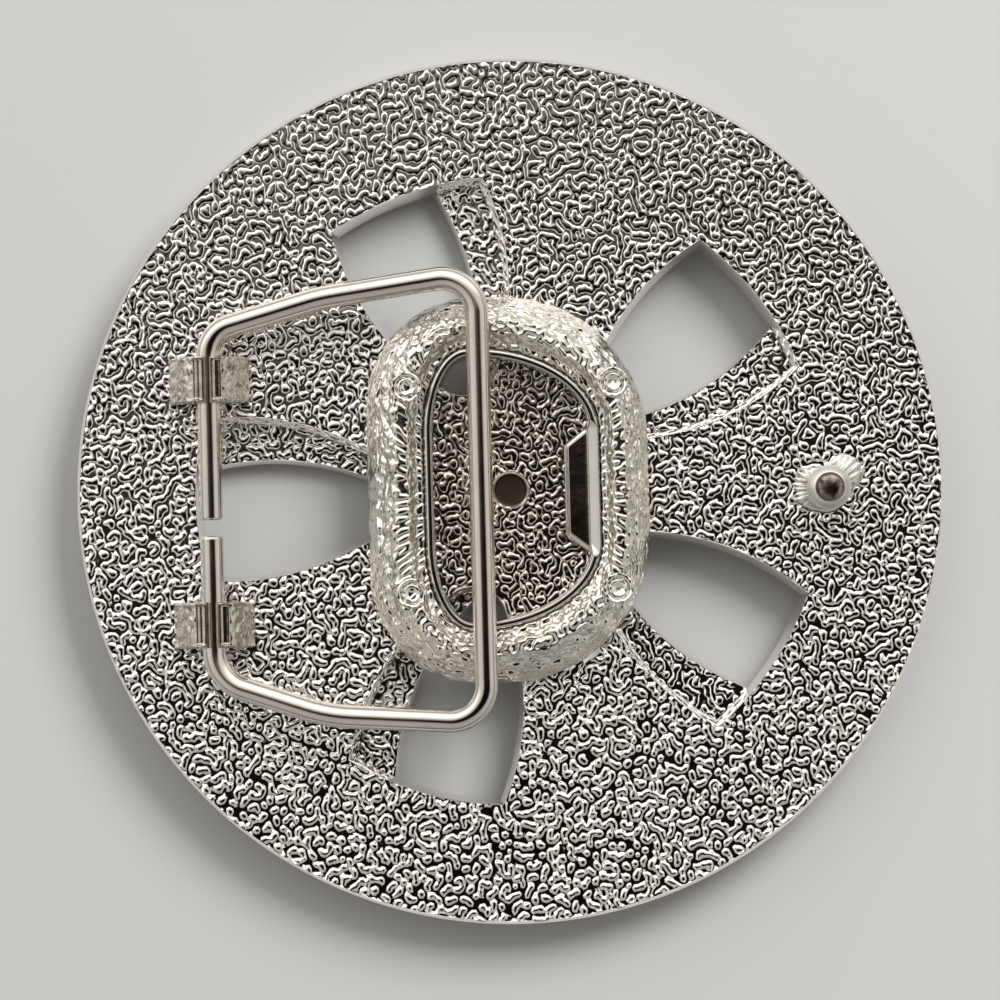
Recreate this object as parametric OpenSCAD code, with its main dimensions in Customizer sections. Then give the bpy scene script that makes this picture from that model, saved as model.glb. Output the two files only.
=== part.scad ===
// Spinner belt buckle, seen from its back: a round cast plate with five windows,
// a wheel that turns in front of it, a bottle opener, a hinged wire bail and a belt stud.
// It lies on its front rim, with the back face up and the origin under the wheel's axis.

/* [Plate] */
// Diameter of the whole buckle
plate_d = 95.25; // [85:0.25:110]
// Height of the back face above the front rim's edge
back_h = 5.2; // [4.8:0.1:7]
// Thickness of the plate's web
web_t = 2.4; // [2:0.1:3]
// Width of the front rim around the wheel
rim_w = 2.7; // [2:0.1:4]
// Bevel on the plate's outer edges
edge_bevel = 0.3; // [0.2:0.1:0.8]

/* [Windows] */
// Number of windows in the plate and in the wheel
window_count = 5; // [3:1:5]
// Turn of the first window from +X, in degrees
window_turn = 38; // [0:1:72]
// Radius of the windows' outer edge
window_r = 34; // [32:0.5:36]
// Radius of a window's two curved sides
side_r = 28.1; // [26:0.1:30]
// Distance of the sides' centres along the window's middle line
side_x = 30.3; // [29:0.1:32]
// Distance of the sides' centres across the window's middle line
side_y = 19.65; // [19:0.05:21]
// Radius of a window's round inner tip
tip_r = 3.2; // [2:0.1:4]

/* [Wheel] */
// Thickness of the wheel
wheel_t = 1.7; // [1.4:0.1:2]
// Gap between the wheel and the plate's web
wheel_gap = 0.4; // [0.3:0.05:0.6]
// Gap between the wheel's edge and the rim
rim_gap = 0.5; // [0.3:0.1:0.8]
// Turn of the wheel from the plate's windows, in degrees
wheel_turn = 9; // [-30:1:30]
// Diameter of the axle under the wheel
axle_d = 4.8; // [4:0.1:6]
// Diameter of the axle's head at the front
axle_head_d = 10.4; // [8:0.1:12]
// Diameter of the hole in the middle of the plate
centre_hole_d = 3.4; // [3:0.1:4]

/* [Back layout] */
// Turn of the opener and the bail on the plate, in degrees
layout_turn = 1.5; // [0:0.5:5]

/* [Opener] */
// Shift of the opener's middle from the plate's centre towards the stud
opener_shift = 0.2; // [0:0.1:0.5]
// Half width of the opener's ring
ring_x = 15.4; // [14:0.1:17]
// Shift of the ring's outer edge from the opener's middle towards the bail
ring_lean = 0.4; // [0:0.1:1]
// Half length of the opener's ring
ring_y = 21.2; // [20:0.1:23]
// Corner radii of the ring on the bail's side, along X and Y
ring_r_left = [12, 12]; // [8:0.5:15]
// Corner radii of the ring on the stud's side, along X and Y
ring_r_right = [16, 16]; // [12:0.5:17]
// Height of the ring above the plate
ring_h = 4.4; // [3.5:0.1:5]
// Half width of the opening inside the ring
mouth_x = 9.2; // [8.5:0.1:10]
// Half length of the opening inside the ring
mouth_y = 15.1; // [14:0.1:16]
// Corner radii of the opening on the bail's side, along X and Y
mouth_r_left = [4.6, 9]; // [3:0.1:14]
// Corner radii of the opening on the stud's side, along X and Y
mouth_r_right = [13.6, 9]; // [3:0.1:14]
// Wall thickness of the smooth insert
insert_t = 0.8; // [0.6:0.1:1]
// Height of the insert above the plate
insert_h = 3.3; // [3:0.1:4]
// Length of the tongue's root
tongue_root = 14.8; // [12:0.1:16]
// Length of the tongue's tip
tongue_tip = 9.8; // [8:0.1:11]
// Shift of the tongue along the opening
tongue_shift = -0.3; // [-0.6:0.1:0.6]
// How far the tongue reaches into the opening
tongue_reach = 3.4; // [2.5:0.1:4]
// Thickness of the tongue
tongue_t = 1.3; // [1:0.1:1.5]

/* [Rivets] */
// Distance of each rivet from the ring's long middle line
rivet_x = 11.25; // [10.5:0.05:12]
// Distance of each rivet from the ring's cross middle line
rivet_y = 11.25; // [10:0.05:12]
// Diameter of a rivet's head
rivet_head_d = 3.4; // [3:0.1:4]
// Diameter of a rivet's shank
rivet_d = 2; // [1.5:0.1:2.4]

/* [Bail] */
// Diameter of the bail's wire
wire_d = 2.6; // [2.2:0.1:2.8]
// Distance of the bail's hinge line from the plate's centre
hinge_x = 32.8; // [31:0.1:34]
// Height of the hinge line above the plate
hinge_h = 1.8; // [1.7:0.1:2.2]
// Gap between the resting bail and the ring
rest_gap = 0.25; // [0.1:0.05:0.4]
// Clearance around the wire in its lugs, on the radius
lug_gap = 0.2; // [0.1:0.05:0.3]
// Half width of a lug at the plate
lug_x = 4.5; // [4:0.1:5]
// Height of a lug above the plate
lug_h = 4.1; // [3.9:0.1:4.6]

/* [Stud] */
// Distance of the belt stud from the plate's centre, along X
stud_x = 34.65; // [33:0.05:38]
// Distance of the belt stud from the plate's centre, along Y
stud_y = 0; // [-2:0.1:2]
// Height of the stud above the plate
stud_h = 7.2; // [6:0.1:9]
// Diameter of the stud's shank
stud_d = 3.2; // [3:0.1:4]
// Diameter of the stud's head
stud_head_d = 4.8; // [4.4:0.1:5.5]

/* [Hidden] */
$fn = 96;

plated = [0.80, 0.78, 0.74];
wire_metal = [0.84, 0.81, 0.76];
bright = [0.70, 0.68, 0.66];

// Small overlap that joins or clears two solids
eps = 0.01;
// Radial clearance of a pressed shank in its hole
fit_gap = 0.05;
web_z = back_h - web_t;
rim_r = plate_d / 2 - rim_w;
wheel_r = rim_r - rim_gap;
wheel_z = web_z - wheel_gap - wheel_t;
// Thickness of the wheel's hub and of the axle's head, and the gap between them
hub_t = 1;
head_t = 0.8;
head_gap = 0.3;
hub_z = web_z - wheel_gap - hub_t;
// Radial gap between the wheel and the axle, and around the axle's head
axle_gap = 0.1;
head_clear = 0.5;
head_bevel = 0.3;
// Depth of the axle's end below the back face
neck_recess = 0.8;

// Steps of the ring's section from its outer foot to the crest, and from there to the insert
ring_steps = 8;
lip_steps = 4;
corner_steps = 14;
// Power of the ring's rounded outer side
ring_power = 0.8;
// Place of the ring's crest as a share of its width, and the ring's height at the insert
ring_crest = 0.64;
ring_lip_h = 3.1;
// Depth of the tongue's face below the insert's lip
tongue_drop = 0.4;
tongue_z = back_h + insert_h - tongue_drop - tongue_t;

rivet_at = [[-1, 1], [1, 1], [-1, -1], [1, -1]];
// Height of the rivets' seats above the plate, thickness of their heads and gap under their shanks
seat_h = 3.75;
rivet_head_t = 0.9;
rivet_foot = 0.1;
// Bevel and flat rim of a rivet's head, depth and slope of the dish inside the rim,
// and radius and depth of the dimple in the middle
rivet_bevel = 0.3;
rivet_rim = 0.2;
dish_depth = 0.35;
dish_slope = 0.3;
dimple_r = 0.35;
dimple_depth = 0.25;

hinge_z = back_h + hinge_h;
free_leg_x = 2.9;
bail_reach = hinge_x - free_leg_x;
bail_rise = asin((ring_h + rest_gap + wire_d / 2 - hinge_h) / bail_reach);
// Corners of the bail from one wire end to the other: distance from the hinge line,
// place along it, and bend radius
bail_path = [
    [0, -2.6, 0],
    [0, 18, 3.4],
    [12.6, 21.3, 22],
    [bail_reach, 23.45, 3.9],
    [bail_reach, -25.5, 3.9],
    [12.4, -24.3, 20],
    [0, -20.1, 4.5],
    [0, -4.4, 0]
];
bend_step = 9;
wire_sides = 24;
leg_overlap = 0.4;
// Lugs: start and end along the hinge line, and width of the slot over the wire
lugs = [[10.2, 15.3, 0.8], [-16.6, -11.6, 1.35]];
lug_power = 2.2;
lug_steps = 18;

// Depth of the stud's shank in the plate, height of its head and of the head's straight band,
// and radius of its dome
stud_seat = 1.4;
stud_head_t = 2.6;
stud_band = 1.1;
stud_dome_r = 1.5;
// Flare under the stud's head, height of the slope around its dome, and the dome's own edge
stud_flare = 0.8;
stud_slope = 0.5;
dome_edge_r = 0.4;
dome_edge_h = 0.15;
// Boss around the stud, with a concave foot and a short tapered web to one side
boss_h = 1.2;
boss_r = 3.1;
boss_fillet = 1.2;
brace_turn = 36;
brace_lean = 78;
brace_l = 4.4;
brace_start = 1;
brace_sink = 0.6;
brace_r = [1.7, 1.1];

// Points of an arc about a centre
function arc(centre, r, a0, a1, n) =
    [for (i = [0:n]) let (a = a0 + (a1 - a0) * i / n) centre + r * [cos(a), sin(a)]];

// A quarter of an ellipse about a centre, from angle a0
function corner(centre, r, a0) =
    [for (i = [0:corner_steps]) let (a = a0 + 90 * i / corner_steps) centre + [r.x * cos(a), r.y * sin(a)]];

// Outline of a box with one pair of corner radii on its left and another on its right
function d_outline(x, y, left, right) = concat(
    corner([x, y] - right, right, 0),
    corner([left.x - x, y - left.y], left, 90),
    corner(left - [x, y], left, 180),
    corner([x - right.x, right.y - y], right, 270)
);

// Outline of the opener's mouth moved outward by grow
function mouth_outline(grow) =
    d_outline(mouth_x + grow, mouth_y + grow, mouth_r_left + [grow, grow], mouth_r_right + [grow, grow]);

// Outline of a window whose middle line is +X: a round tip, two curved sides and an arc
function window_outline() =
    let (
        tip_x = side_x - sqrt(pow(side_r - tip_r, 2) - pow(side_y, 2)),
        side_a = atan2(side_y, side_x - tip_x),
        reach = norm([side_x, side_y]),
        corner = acos((pow(window_r, 2) + pow(reach, 2) - pow(side_r, 2)) / (2 * window_r * reach))
            - atan2(side_y, side_x),
        end_p = window_r * [cos(corner), sin(corner)] - [side_x, -side_y],
        end_a = atan2(end_p.y, end_p.x)
    )
    concat(
        arc([0, 0], window_r, -corner, corner, 10),
        arc([side_x, -side_y], side_r, end_a, 180 - side_a, 10),
        arc([tip_x, 0], tip_r, 180 - side_a, 180 + side_a, 8),
        arc([side_x, side_y], side_r, 180 + side_a, 360 - end_a, 10)
    );

// Section of the ring from its outer foot over the crest to the insert and down to its inner
// foot: share of the width, and height
function ring_profile() = concat(
    [for (i = [0:ring_steps]) let (a = 90 * i / ring_steps)
        [ring_crest * (1 - cos(a)), ring_h * pow(sin(a), ring_power)]],
    [for (i = [1:lip_steps]) let (a = 90 * i / lip_steps)
        [ring_crest + (1 - ring_crest) * sin(a), ring_lip_h + (ring_h - ring_lip_h) * cos(a)]],
    [[1, 0]]
);

module layout() {
    rotate([0, 0, layout_turn]) children();
}

module opener_layout() {
    layout() translate([opener_shift, 0, 0]) children();
}

module windows(z0, z1) {
    for (k = [0:window_count - 1])
        rotate([0, 0, window_turn + k * 360 / window_count])
            translate([0, 0, z0]) linear_extrude(z1 - z0) polygon(window_outline());
}

module lug(start, end, slot) {
    profile = [for (i = [0:lug_steps]) let (a = 180 * i / lug_steps)
        [lug_x * sign(cos(a)) * pow(abs(cos(a)), 2 / lug_power), lug_h * pow(sin(a), 2 / lug_power)]];
    translate([-hinge_x, end, back_h]) rotate([90, 0, 0]) difference() {
        linear_extrude(end - start) union() {
            polygon(profile);
            translate([-lug_x, -1]) square([2 * lug_x, 1 + eps]);
        }
        translate([0, hinge_h, -1]) cylinder(d = wire_d + 2 * lug_gap, h = end - start + 2);
        translate([-slot / 2, hinge_h, -1]) cube([slot, lug_h, end - start + 2]);
    }
}

module stud_boss() {
    rotate_extrude() difference() {
        translate([0, -1]) square([boss_r, 1 + boss_h]);
        translate([boss_r, boss_h]) circle(r = boss_fillet);
    }
    // Short web that braces the boss away from the plate's centre
    rotate([0, 0, brace_turn]) translate([brace_start, 0, -brace_sink]) rotate([0, brace_lean, 0])
        cylinder(r1 = brace_r[0], r2 = brace_r[1], h = brace_l);
}

module back_plate() {
    color(plated) difference() {
        union() {
            rotate_extrude() polygon([
                [0, web_z], [rim_r, web_z], [rim_r, 0], [plate_d / 2 - edge_bevel, 0],
                [plate_d / 2, edge_bevel], [plate_d / 2, back_h - edge_bevel],
                [plate_d / 2 - edge_bevel, back_h], [0, back_h]
            ]);
            layout() for (l = lugs) lug(l[0], l[1], l[2]);
            translate([stud_x, stud_y, back_h]) stud_boss();
        }
        windows(web_z - 1, back_h + 1);
        translate([0, 0, web_z - 1]) cylinder(d = centre_hole_d, h = web_t + 2);
        translate([stud_x, stud_y, back_h - stud_seat])
            cylinder(d = stud_d + 2 * fit_gap, h = stud_seat + boss_h + 1);
    }
}

module spinner_wheel() {
    color(plated) rotate([0, 0, wheel_turn]) difference() {
        translate([0, 0, wheel_z]) cylinder(r = wheel_r, h = wheel_t, $fn = 128);
        windows(wheel_z - 1, wheel_z + wheel_t + 1);
        translate([0, 0, wheel_z - 1]) cylinder(d = axle_d + 2 * axle_gap, h = wheel_t + 2);
        translate([0, 0, wheel_z - 1]) cylinder(d = axle_head_d + 2 * head_clear, h = hub_z - wheel_z + 1);
    }
}

module axle_pin() {
    head_z = hub_z - head_gap - head_t;
    color(bright) rotate_extrude() polygon([
        [0, head_z], [axle_head_d / 2 - head_bevel, head_z], [axle_head_d / 2, head_z + head_bevel],
        [axle_head_d / 2, head_z + head_t], [axle_d / 2, head_z + head_t], [axle_d / 2, web_z],
        [centre_hole_d / 2 - fit_gap, web_z], [centre_hole_d / 2 - fit_gap, back_h - neck_recess],
        [0, back_h - neck_recess]
    ]);
}

module opener_ring() {
    outer = [for (p = d_outline(ring_x, ring_y, ring_r_left, ring_r_right)) p - [ring_lean, 0]];
    inner = mouth_outline(insert_t / 2 + fit_gap);
    profile = ring_profile();
    m = len(profile);
    n = len(outer);
    points = [for (i = [0:n - 1]) for (p = profile)
        let (q = outer[i] + (inner[i] - outer[i]) * p[0]) [q.x, q.y, back_h + p[1]]];
    faces = [for (i = [0:n - 1]) for (j = [0:m - 1])
        let (a = i * m, b = (i + 1) % n * m, k = (j + 1) % m) [a + j, a + k, b + k, b + j]];
    color(plated) opener_layout() difference() {
        polyhedron(points, faces, convexity = 6);
        for (p = rivet_at) translate([p.x * rivet_x, p.y * rivet_y, back_h]) {
            translate([0, 0, -1]) cylinder(d = rivet_d + 2 * fit_gap, h = ring_h + 2);
            translate([0, 0, seat_h]) cylinder(d = rivet_head_d + 2 * fit_gap, h = 2);
        }
    }
}

module opener_insert() {
    half = insert_t / 2;
    color(bright) opener_layout() {
        translate([0, 0, back_h]) linear_extrude(insert_h) difference() {
            polygon(mouth_outline(half));
            polygon(mouth_outline(-half));
        }
        translate([0, 0, tongue_z]) linear_extrude(tongue_t) intersection() {
            translate([0, tongue_shift]) polygon([
                [mouth_x, -tongue_root / 2], [mouth_x, tongue_root / 2],
                [mouth_x - tongue_reach, tongue_tip / 2], [mouth_x - tongue_reach, -tongue_tip / 2]
            ]);
            polygon(mouth_outline(0));
        }
    }
}

module rivet(k) {
    top = rivet_head_t;
    r = rivet_head_d / 2;
    rim = r - rivet_bevel - rivet_rim;
    color(bright) opener_layout()
        translate([rivet_at[k - 1].x * rivet_x, rivet_at[k - 1].y * rivet_y, back_h + seat_h])
            rotate_extrude() polygon([
                [0, rivet_foot - seat_h], [rivet_d / 2, rivet_foot - seat_h], [rivet_d / 2, 0], [r, 0],
                [r, top - rivet_bevel], [r - rivet_bevel, top], [rim, top],
                [rim - dish_slope, top - dish_depth], [dimple_r, top - dish_depth],
                [0, top - dish_depth - dimple_depth]
            ]);
}

// Angle at which the wire leaves corner i of the bail's path
function heading(i) = let (d = bail_path[i + 1] - bail_path[i]) atan2(d.y, d.x);

// Signed turn at corner i
function bend_turn(i) =
    let (t = heading(i) - heading(i - 1)) t > 180 ? t - 360 : t < -180 ? t + 360 : t;

// Length that the bend at corner i takes from each of its two runs
function bend_cut(i) = bail_path[i][2] * abs(tan(bend_turn(i) / 2));

// Stations along the bend at corner i: place in the bail's plane, and heading
function bend(i) =
    let (
        turn = bend_turn(i),
        a = heading(i - 1),
        r = bail_path[i][2] * sign(turn),
        start = [bail_path[i].x, bail_path[i].y] - bend_cut(i) * [cos(a), sin(a)],
        centre = start + r * [-sin(a), cos(a)],
        n = ceil(abs(turn) / bend_step)
    )
    [for (k = [0:n]) let (h = a + turn * k / n) [centre.x + r * sin(h), centre.y - r * cos(h), h]];

// Length of a hinged leg from the wire's end to its bend
function leg_length(i, j) = abs(bail_path[i].y - bail_path[j].y) - bend_cut(j);

module wire_leg(i, j) {
    away = sign(bail_path[j].y - bail_path[i].y);
    translate([0, bail_path[i].y, 0]) rotate([-90 * away, 0, 0])
        cylinder(d = wire_d, h = leg_length(i, j), $fn = 48);
}

// The wire from one hinged leg round to the other, slightly slimmer than the legs that it joins
module wire_loop() {
    last = len(bail_path) - 1;
    r = wire_d / 2 - eps;
    first_bend = bend(1);
    last_bend = bend(last - 1);
    stations = concat(
        [[0, first_bend[0].y - leg_overlap, 90]],
        [for (i = [1:last - 1]) for (s = bend(i)) s],
        [[0, last_bend[len(last_bend) - 1].y + leg_overlap, 90]]
    );
    n = len(stations);
    points = [for (s = stations) for (j = [0:wire_sides - 1])
        let (a = 360 * j / wire_sides, side = r * cos(a))
        [s[0] - side * sin(s[2]), s[1] + side * cos(s[2]), r * sin(a)]];
    walls = [for (i = [0:n - 2]) for (j = [0:wire_sides - 1])
        let (a = i * wire_sides, b = a + wire_sides, k = (j + 1) % wire_sides)
        [a + k, a + j, b + j, b + k]];
    caps = [
        [for (j = [0:wire_sides - 1]) j],
        [for (j = [wire_sides - 1:-1:0]) (n - 1) * wire_sides + j]
    ];
    polyhedron(points, concat(walls, caps), convexity = 6);
}

module bail_wire() {
    last = len(bail_path) - 1;
    wire_leg(0, 1);
    wire_leg(last, last - 1);
    wire_loop();
}

module bail() {
    color(wire_metal) layout() translate([-hinge_x, 0, hinge_z]) rotate([0, -bail_rise, 0]) bail_wire();
}

module belt_stud() {
    head_z = stud_h - stud_head_t;
    color(wire_metal) translate([stud_x, stud_y, back_h]) rotate_extrude() polygon([
        [0, -stud_seat], [stud_d / 2, -stud_seat], [stud_d / 2, head_z - stud_flare],
        [stud_head_d / 2, head_z], [stud_head_d / 2, head_z + stud_band], [stud_dome_r, stud_h - stud_slope],
        [stud_dome_r - dome_edge_r, stud_h - dome_edge_h], [0, stud_h]
    ]);
}

back_plate();
spinner_wheel();
axle_pin();
opener_ring();
opener_insert();
rivet(1);  // rivet_1
rivet(2);  // rivet_2
rivet(3);  // rivet_3
rivet(4);  // rivet_4
bail();
belt_stud();
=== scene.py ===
import math

import bmesh
import bpy
import numpy as np
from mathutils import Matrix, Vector
from mathutils.geometry import delaunay_2d_cdt


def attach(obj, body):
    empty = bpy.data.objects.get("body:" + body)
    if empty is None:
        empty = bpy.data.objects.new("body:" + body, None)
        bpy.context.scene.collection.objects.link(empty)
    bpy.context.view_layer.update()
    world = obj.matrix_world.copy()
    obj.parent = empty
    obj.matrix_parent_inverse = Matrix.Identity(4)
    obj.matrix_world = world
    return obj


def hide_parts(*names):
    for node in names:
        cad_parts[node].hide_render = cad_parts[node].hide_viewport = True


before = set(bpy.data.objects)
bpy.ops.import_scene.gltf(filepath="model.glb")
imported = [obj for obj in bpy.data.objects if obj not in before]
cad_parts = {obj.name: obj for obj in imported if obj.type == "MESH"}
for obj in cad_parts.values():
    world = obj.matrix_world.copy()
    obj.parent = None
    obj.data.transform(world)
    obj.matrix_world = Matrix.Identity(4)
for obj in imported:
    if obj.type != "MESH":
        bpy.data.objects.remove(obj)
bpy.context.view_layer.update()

# Lengths are in millimetres and angles in degrees, except where a comment says otherwise. In the
# names below R is a radius, T a thickness, H a height over the back face and Z one over the floor.
MM = 0.001

# Plate
PLATE_R = 47.625
BACK_Z = 5.2
WEB_Z = 2.8
RIM_IN_R = 44.925
FRONT_EDGE = 0.4
RIM_IN_EDGE = 0.25
WEB_EDGE = 0.3
HOLE_R = 1.7
RIM_POINTS = 720
HOLE_POINTS = 60
LAYOUT_TURN = 1.5

# Windows
WINDOW_COUNT = 5
WINDOW_TURN = 38
WINDOW_R = 34
SIDE_R = 28.1
SIDE_X = 30.3
SIDE_Y = 19.65
TIP_R = 3.2

# Wheel and axle
WHEEL_R = 44.425
WHEEL_Z = 0.7
WHEEL_T = 1.7
WHEEL_TURN = 9
WHEEL_BEVEL = 0.3
WHEEL_WINDOW_EDGE = 0.4
BORE_EDGE = 0.2
AXLE_R = 2.4
AXLE_GAP = 0.1
AXLE_HEAD_R = 5.2
HUB_T = 1.0
HEAD_T = 0.8
HEAD_GAP = 0.3
HEAD_CLEAR = 0.5
NECK_RECESS = 0.8

# Opener
OPENER_SHIFT = 0.2
RING_X, RING_Y = 15.4, 21.2
RING_LEAN = 0.4
RING_LEFT_R, RING_RIGHT_R = (12, 12), (16, 16)
RING_H = 4.4
RING_CREST = 0.64
RING_SUNK = 0.22
MOUTH_X, MOUTH_Y = 9.2, 15.1
MOUTH_LEFT_R, MOUTH_RIGHT_R = (4.6, 9), (13.6, 9)
MOUTH_CORNER = 5
INSERT_T = 0.8
INSERT_H = 3.3
TONGUE_ROOT, TONGUE_TIP = 14.8, 9.8
TONGUE_REACH = 3.4
TONGUE_SHIFT = -0.3
TONGUE_T = 1.3
TONGUE_FACE = 2.4
TONGUE_CORNER = 0.8
TONGUE_BEVEL = 0.3
# Where the tongue's face starts and ends to bend up, and by how much
TONGUE_BEND = (8.1, 8.75, 0.27)
# Inset and height of the tongue's upper edge, and of the bright bead that lies along it
TONGUE_RIM = [(0, -0.6), (0.04, -0.3), (0.3, -0.08), (0.34, 0)]
TONGUE_BEAD = [(0.3, -0.85), (-0.03, -0.8), (-0.03, -0.31), (0.05, -0.23), (0.15, -0.155), (0.26, -0.08),
               (0.36, -0.02), (0.44, 0.025), (0.47, -0.06), (0.47, -0.4)]

# Rivets
RIVET_X = RIVET_Y = 11.25
RIVET_R = 1.7
RIVET_SHANK_R = 1.0
RIVET_SEAT = 3.75
RIVET_FOOT = 0.1
RIVET_DENT = 0.07

# Bail
WIRE_R = 1.3
WIRE_LOOK_R = 1.28
HINGE_X = 32.8
HINGE_H = 1.8
REST_GAP = 0.25
FREE_LEG_X = 2.9
BAIL_REACH = HINGE_X - FREE_LEG_X
BAIL_PATH = [
    (0, -2.6, 0), (0, 18, 3.4), (12.6, 21.3, 22), (BAIL_REACH, 23.45, 3.9),
    (BAIL_REACH, -25.5, 3.9), (12.4, -24.3, 20), (0, -20.1, 4.5), (0, -4.4, 0),
]
LUG_X = 4.5
LUG_H = 4.1
LUG_ROUND = 0.22
LUG_SUNK = 0.2
LUGS = {"lug_upper": (10.2, 15.3, 0.8), "lug_lower": (-16.6, -11.6, 1.35)}

# Stud
STUD_X, STUD_Y = 34.65, 0
STUD_H = 7.2
STUD_R = 1.6
STUD_HEAD_R = 2.4
STUD_HEAD_T = 2.6
STUD_DOME_R = 1.45
STUD_SUNK = 1.4
FOOT_R = 1.68
FOOT_SUNK = 0.2

# Wrinkled skin of the castings: the level lines that the mesh follows, the spacing of points on
# each, and how height and slope follow the distance from a ridge's outline
SKIN_LENGTH, WHEEL_SKIN_LENGTH = 1.02, 1.1
SKIN_BIAS, SKIN_SPREAD, SKIN_LEAN = 0.54, 0.3, -0.005
SKIN_STEP, WHEEL_SKIN_STEP = 0.41, 0.40
SKIN_LEVELS = [-0.17, -0.10, -0.02]
SKIN_STEPS = [1.15, 1.0, 1.0]
SKIN_HEIGHT = ([-0.17, -0.10, -0.02, 0.1, 0.28], [-0.17, -0.11, -0.035, -0.012, 0.005])
SKIN_SLOPE = ([-0.17, -0.10, -0.02, 0.28], [0.0, 1.3, 0.32, 0.0])


def turned(points, angle):
    """Points turned about the origin by an angle in degrees."""
    c, s = math.cos(math.radians(angle)), math.sin(math.radians(angle))
    p = np.asarray(points, float)
    out = p.copy()
    out[..., 0] = c * p[..., 0] - s * p[..., 1]
    out[..., 1] = s * p[..., 0] + c * p[..., 1]
    return out


def arc(centre, r, a0, a1, n):
    """n + 1 points of an arc about a centre, from angle a0 to a1 in radians."""
    a = np.linspace(a0, a1, n + 1)
    return np.c_[centre[0] + r * np.cos(a), centre[1] + r * np.sin(a)]


def circle(r, n, centre=(0, 0)):
    return arc(centre, r, 0, 2 * math.pi, n)[:-1]


def d_outline(x, y, left, right, n=400):
    """n evenly spaced points of a box with one pair of corner radii on its left and another on its right."""
    a = np.linspace(0, math.pi / 2, 91)
    corners = [((x - right[0], y - right[1]), right, 0), ((left[0] - x, y - left[1]), left, 1),
               ((left[0] - x, left[1] - y), left, 2), ((x - right[0], right[1] - y), right, 3)]
    parts = [np.c_[c[0] + r[0] * np.cos(a + k * math.pi / 2), c[1] + r[1] * np.sin(a + k * math.pi / 2)]
             for c, r, k in corners]
    p = np.concatenate(parts + [parts[0][:1]])
    d = np.r_[0, np.cumsum(np.hypot(*np.diff(p, axis=0).T))]
    t = np.linspace(0, d[-1], n + 1)[:-1]
    return np.c_[np.interp(t, d, p[:, 0]), np.interp(t, d, p[:, 1])]


def mouth_outline(grow, n=400):
    left, right = np.add(MOUTH_LEFT_R, grow), np.add(MOUTH_RIGHT_R, grow)
    return d_outline(MOUTH_X + grow, MOUTH_Y + grow, left, right, n)


def window_tip():
    """Where the round tip of a window has its centre, and half the angle between its sides there."""
    tip_x = SIDE_X - math.sqrt((SIDE_R - TIP_R) ** 2 - SIDE_Y ** 2)
    return tip_x, math.atan2(SIDE_Y, SIDE_X - tip_x)


def window_outline(grow, turn, n_outer=56, n_side=64, n_tip=10):
    """Outline of a window moved outward by grow, with its middle line turned by turn."""
    outer_r, side_r, tip_r = WINDOW_R + grow, SIDE_R + grow, TIP_R + grow
    tip_x, side_a = window_tip()
    reach = math.hypot(SIDE_X, SIDE_Y)
    corner = math.acos((outer_r ** 2 + reach ** 2 - side_r ** 2) / (2 * outer_r * reach))
    corner -= math.atan2(SIDE_Y, SIDE_X)
    end_a = math.atan2(outer_r * math.sin(corner) + SIDE_Y, outer_r * math.cos(corner) - SIDE_X)
    parts = [
        arc((0, 0), outer_r, -corner, corner, n_outer),
        arc((SIDE_X, -SIDE_Y), side_r, end_a, math.pi - side_a, n_side),
        arc((tip_x, 0), tip_r, math.pi - side_a, math.pi + side_a, n_tip),
        arc((SIDE_X, SIDE_Y), side_r, math.pi + side_a, 2 * math.pi - end_a, n_side),
    ]
    return turned(np.concatenate([p[:-1] for p in parts]), turn)


def window_turns(offset=0):
    return [WINDOW_TURN + offset + 360 * k / WINDOW_COUNT for k in range(WINDOW_COUNT)]


def window_clear(x, y, turn, grow):
    """Distance outside one grown window, negative inside it."""
    c, s = math.cos(math.radians(turn)), math.sin(math.radians(turn))
    u, v = c * x + s * y, c * y - s * x
    tip_x, side_a = window_tip()
    sides = np.hypot(u - SIDE_X, np.abs(v) + SIDE_Y) - SIDE_R
    tip = np.hypot(u - tip_x, v) - TIP_R
    # The round tip stands for the sides in the wedge that it spans
    in_wedge = np.abs(v) < (tip_x - u) * math.tan(side_a)
    d = np.where(in_wedge, tip, sides)
    return np.maximum(d, np.hypot(x, y) - WINDOW_R) - grow


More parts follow.
